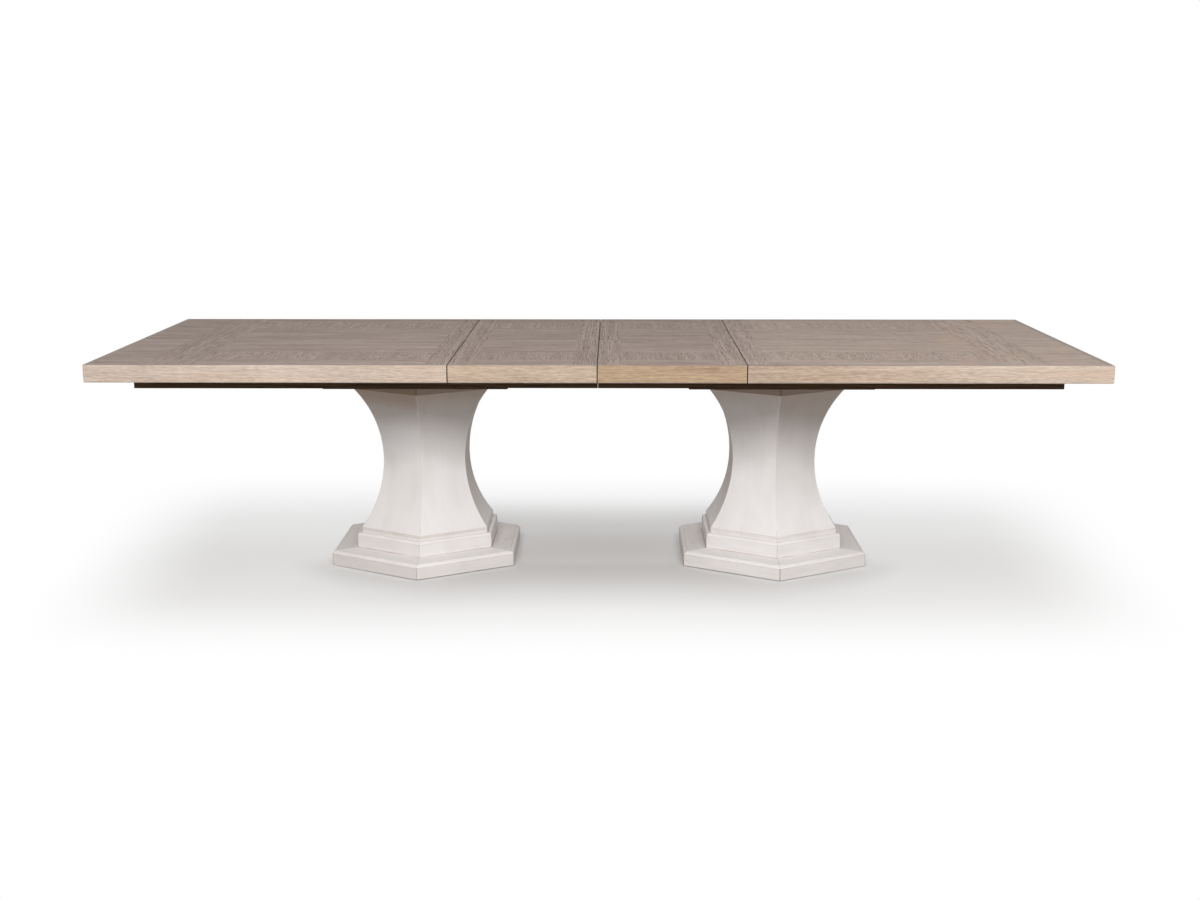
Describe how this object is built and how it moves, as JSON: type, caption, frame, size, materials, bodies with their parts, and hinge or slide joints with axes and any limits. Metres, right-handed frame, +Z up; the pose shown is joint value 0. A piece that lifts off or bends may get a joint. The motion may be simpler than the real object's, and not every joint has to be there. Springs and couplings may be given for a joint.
{
  "type": "extending dining table",
  "caption": "Rectangular extending dining table on twin hexagonal concave pedestals, with lift-out leaves in the middle of a framed veneer top that slides apart.",
  "frame": {"origin": "on the floor under the middle of the extended top", "axes": "+X along the table to its right end, +Y from front to back, +Z up"},
  "size_m": [3.178, 1.168, 0.76],
  "materials": {
    "oak_top": "grey-brown washed oak veneer, satin",
    "oak_edge": "pale solid oak, satin",
    "leaf_edge": "golden solid oak, satin",
    "dark_stain": "dark brown stained hardwood, satin",
    "white_paint": "brushed antique white paint on wood, rubbed at its edges",
    "hardwood": "plain waxed hardwood",
    "steel": "zinc plated",
    "glide_nylon": "matt"
  },
  "bodies": {
    "base": {"back_fixed_rail": "hardwood", "centre_tie": "hardwood", "floor_glides": "glide_nylon", "front_fixed_rail": "hardwood", "left_cap": "white_paint", "left_collar": "white_paint", "left_column": "white_paint", "left_foot_block": "hardwood", "left_mounting_plate": "dark_stain", "left_plinth": "white_paint", "right_cap": "white_paint", "right_collar": "white_paint", "right_column": "white_paint", "right_foot_block": "hardwood", "right_mounting_plate": "dark_stain", "right_plinth": "white_paint", "stop_pins": "hardwood", "tie_rods": "steel"},
    "left_top": {"left_panel": "oak_top", "left_end_edge": "oak_edge", "left_end_apron": "dark_stain", "left_seam_batten": "hardwood", "left_cross_batten": "hardwood", "left_corner_blocks": "hardwood", "left_front_edge": "oak_edge", "left_front_apron": "dark_stain", "left_front_runner": "hardwood", "left_back_edge": "oak_edge", "left_back_apron": "dark_stain", "left_back_runner": "hardwood"},
    "right_top": {"right_panel": "oak_top", "right_end_edge": "oak_edge", "right_end_apron": "dark_stain", "right_seam_batten": "hardwood", "right_cross_batten": "hardwood", "right_corner_blocks": "hardwood", "right_front_edge": "oak_edge", "right_front_apron": "dark_stain", "right_front_runner": "hardwood", "right_back_edge": "oak_edge", "right_back_apron": "dark_stain", "right_back_runner": "hardwood"},
    "left_leaf": {"left_leaf_panel": "oak_top", "left_leaf_inner_batten": "hardwood", "left_leaf_outer_batten": "hardwood", "left_leaf_pegs": "hardwood", "left_leaf_front_edge": "leaf_edge", "left_leaf_front_apron": "dark_stain", "left_leaf_back_edge": "leaf_edge", "left_leaf_back_apron": "dark_stain"},
    "right_leaf": {"right_leaf_panel": "oak_top", "right_leaf_inner_batten": "hardwood", "right_leaf_outer_batten": "hardwood", "right_leaf_pegs": "hardwood", "right_leaf_front_edge": "leaf_edge", "right_leaf_front_apron": "dark_stain", "right_leaf_back_edge": "leaf_edge", "right_leaf_back_apron": "dark_stain"}
  },
  "joints": [
    {"name": "left_top_slide", "type": "slide", "parent": "base", "child": "left_top", "axis": [-1, 0, 0], "range_m": [0, 0.04]},
    {"name": "right_top_slide", "type": "slide", "parent": "base", "child": "right_top", "axis": [1, 0, 0], "range_m": [0, 0.04]},
    {"name": "left_leaf_lift", "type": "slide", "parent": "base", "child": "left_leaf", "axis": [0, 0, 1], "range_m": [0, 0.3]},
    {"name": "right_leaf_lift", "type": "slide", "parent": "base", "child": "right_leaf", "axis": [0, 0, 1], "range_m": [0, 0.3]}
  ]
}
